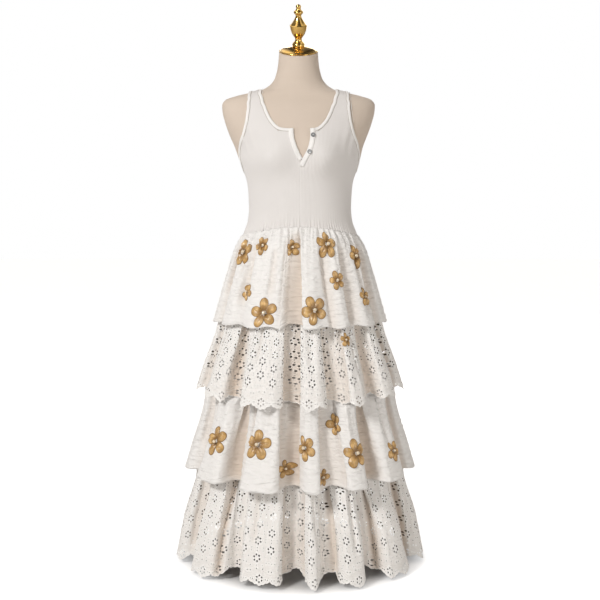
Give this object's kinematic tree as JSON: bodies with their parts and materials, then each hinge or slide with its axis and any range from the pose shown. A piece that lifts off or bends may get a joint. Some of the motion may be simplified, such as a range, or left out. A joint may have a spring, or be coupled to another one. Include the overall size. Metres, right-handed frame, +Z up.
{
  "type": "tiered maxi dress on a limbless dress form",
  "caption": "White sleeveless tiered maxi dress with eyelet tiers, scalloped hems and gold applique flowers, on a linen dress form.",
  "frame": {"origin": "middle of the stand base's underside, on the floor", "axes": "+Z up along the stand pole, -Y out of the dress's front, +X to the right of someone who looks at the front"},
  "size_m": [0.6795, 0.646, 1.4814],
  "materials": {
    "linen": "plain woven linen cover",
    "polished_gold": "polished",
    "painted_steel": "satin paint",
    "rib_knit": "fine rib knit",
    "binding": "folded knit binding",
    "crinkled_cotton": "crinkled plain weave",
    "eyelet_cloth": "cotton with cut and embroidered eyelets",
    "gold_satin": "satin stitched applique",
    "button": "polished"
  },
  "bodies": {
    "root": {"form_torso": "linen", "neck_cap": "polished_gold", "finial": "polished_gold", "stand_base": "painted_steel", "stand_pole": "painted_steel", "bodice_front": "rib_knit", "bodice_back": "rib_knit", "neck_binding": "binding", "armhole_binding_left": "binding", "armhole_binding_right": "binding", "placket_left": "binding", "placket_right": "binding", "button_upper": "button", "button_lower": "button", "tier_1": "crinkled_cotton", "tier_2_front": "eyelet_cloth", "tier_2_back": "eyelet_cloth", "tier_3": "crinkled_cotton", "tier_4_front": "eyelet_cloth", "tier_4_back": "eyelet_cloth", "flower_1_01": "gold_satin", "flower_1_02": "gold_satin", "flower_1_03": "gold_satin", "flower_1_04": "gold_satin", "flower_1_05": "gold_satin", "flower_1_06": "gold_satin", "flower_1_07": "gold_satin", "flower_1_08": "gold_satin", "flower_1_09": "gold_satin", "flower_1_10": "gold_satin", "flower_1_11": "gold_satin", "flower_1_12": "gold_satin", "flower_1_13": "gold_satin", "flower_1_14": "gold_satin", "flower_1_15": "gold_satin", "flower_2_01": "gold_satin", "flower_3_01": "gold_satin", "flower_3_02": "gold_satin", "flower_3_03": "gold_satin", "flower_3_04": "gold_satin", "flower_3_05": "gold_satin", "flower_3_06": "gold_satin", "flower_3_07": "gold_satin", "flower_3_08": "gold_satin", "flower_3_09": "gold_satin", "flower_3_10": "gold_satin", "flower_3_11": "gold_satin", "flower_3_12": "gold_satin", "flower_3_13": "gold_satin"}
  },
  "joints": []
}
